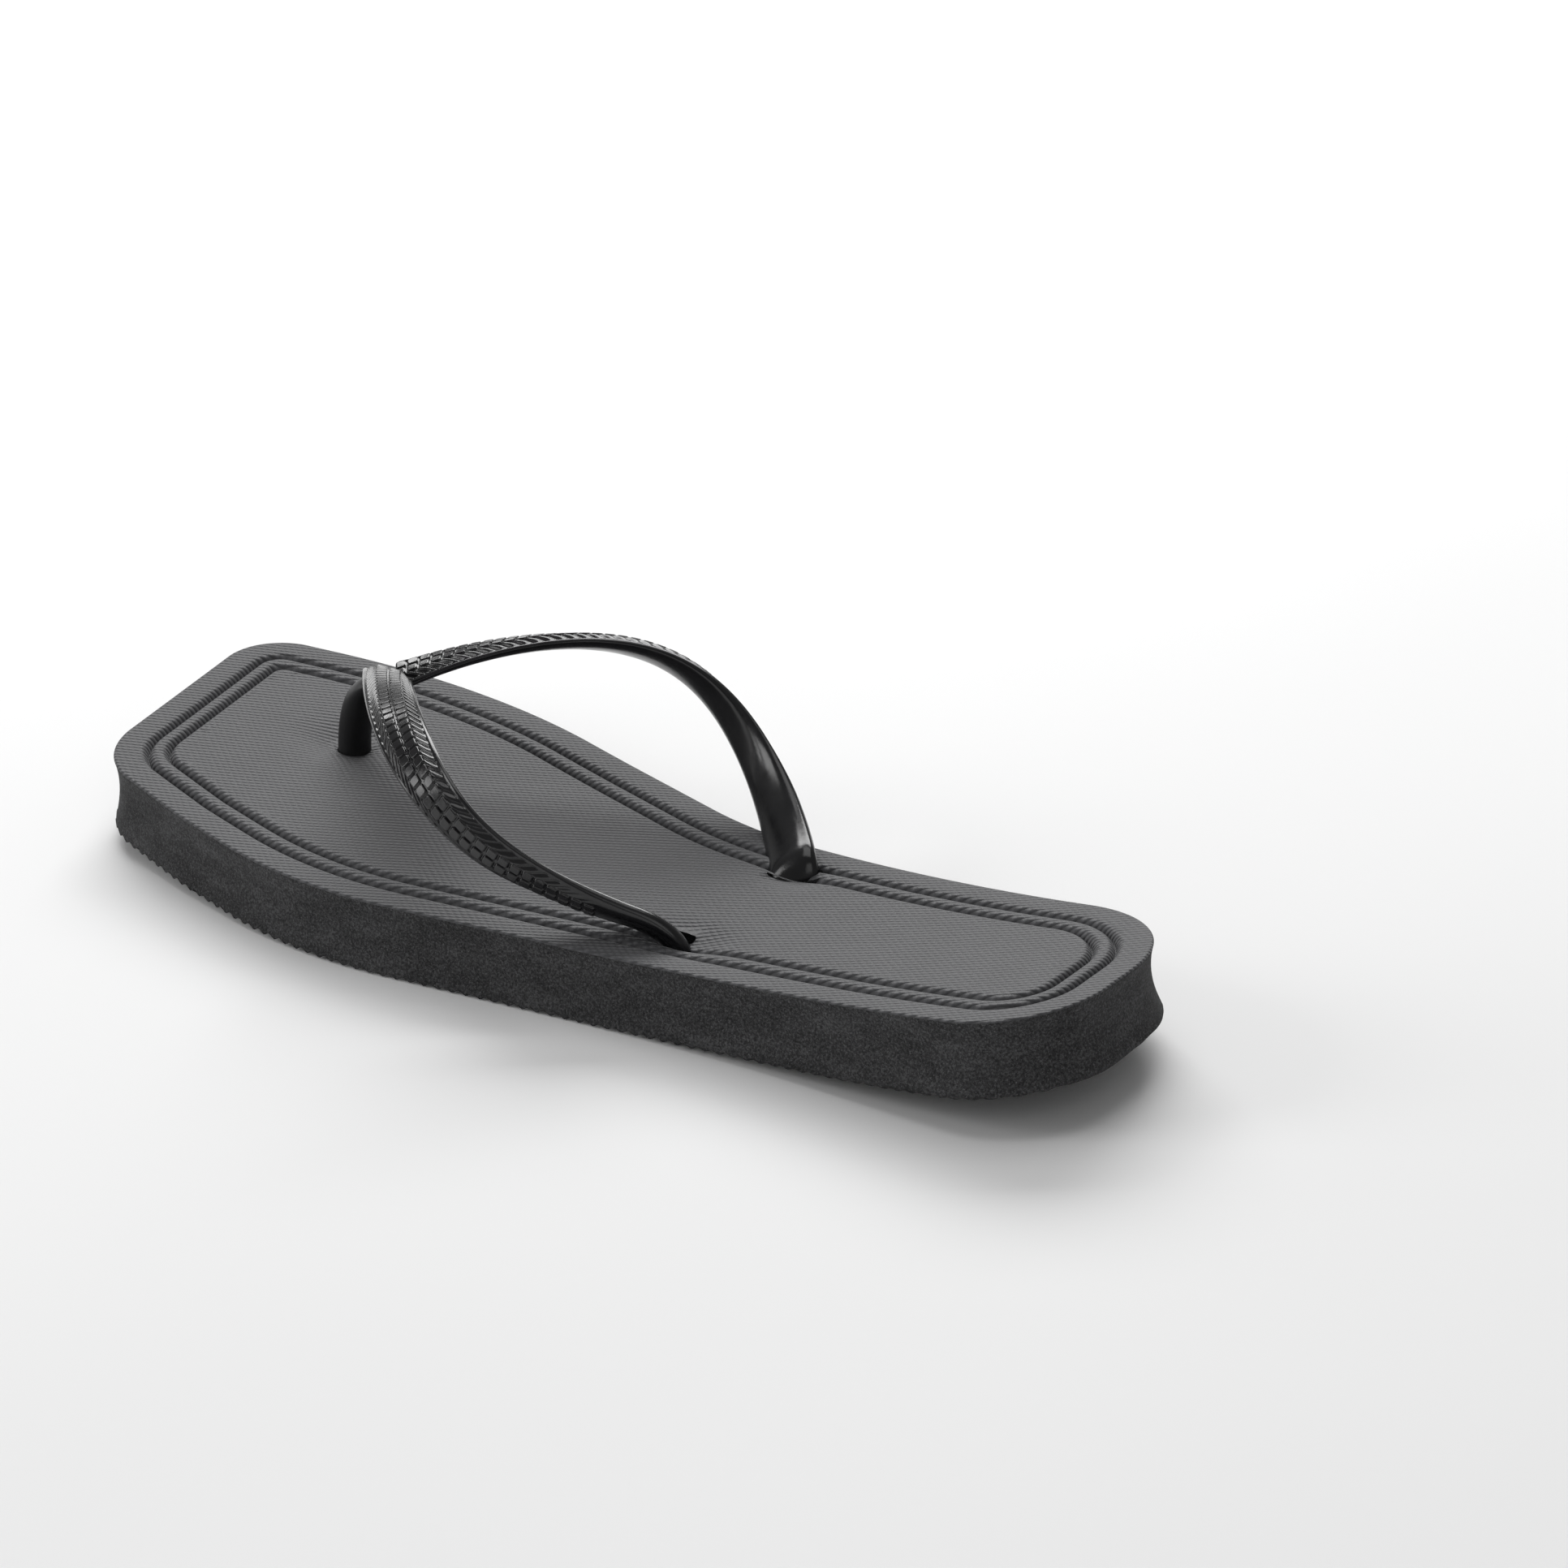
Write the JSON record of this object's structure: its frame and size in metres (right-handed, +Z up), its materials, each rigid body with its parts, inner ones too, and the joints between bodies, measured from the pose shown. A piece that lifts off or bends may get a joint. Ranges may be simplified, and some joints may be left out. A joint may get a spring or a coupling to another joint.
{
  "type": "flip flop",
  "caption": "Square-toed black flip flop for the left foot: curled foam sole with a grooved footbed, and a moulded strap with toe post and side arms that flex.",
  "frame": {"origin": "centre of the sole in plan, on the ground plane that the flat middle of the sole rests on", "axes": "+X along the sole towards the toe, +Y towards the little-toe (outer) side of this left-foot shoe, +Z up"},
  "size_m": [0.2601, 0.0873, 0.0487],
  "materials": {
    "foam": "matt cut foam with a fine woven emboss on the footbed",
    "strap": "glossy moulded soft plastic"
  },
  "bodies": {
    "sole_and_fixed_strap": {"sole": "foam", "toe_post": "strap", "outer_anchor": "strap", "inner_anchor": "strap"},
    "outer_arm": {"outer_arm": "strap"},
    "inner_arm": {"inner_arm": "strap"}
  },
  "joints": [
    {"name": "outer_arm_flex", "type": "hinge", "parent": "sole_and_fixed_strap", "child": "outer_arm", "pos_m": [0.05822, -0.00014, 0.03984], "axis": [-0.9215, 0.3389, -0.1897], "range_deg": [-15, 15], "stiffness_Nm_per_rad": 0.15},
    {"name": "inner_arm_flex", "type": "hinge", "parent": "sole_and_fixed_strap", "child": "inner_arm", "pos_m": [0.05062, -0.02053, 0.04083], "axis": [-0.9484, -0.1743, -0.2649], "range_deg": [-15, 15], "stiffness_Nm_per_rad": 0.15}
  ]
}
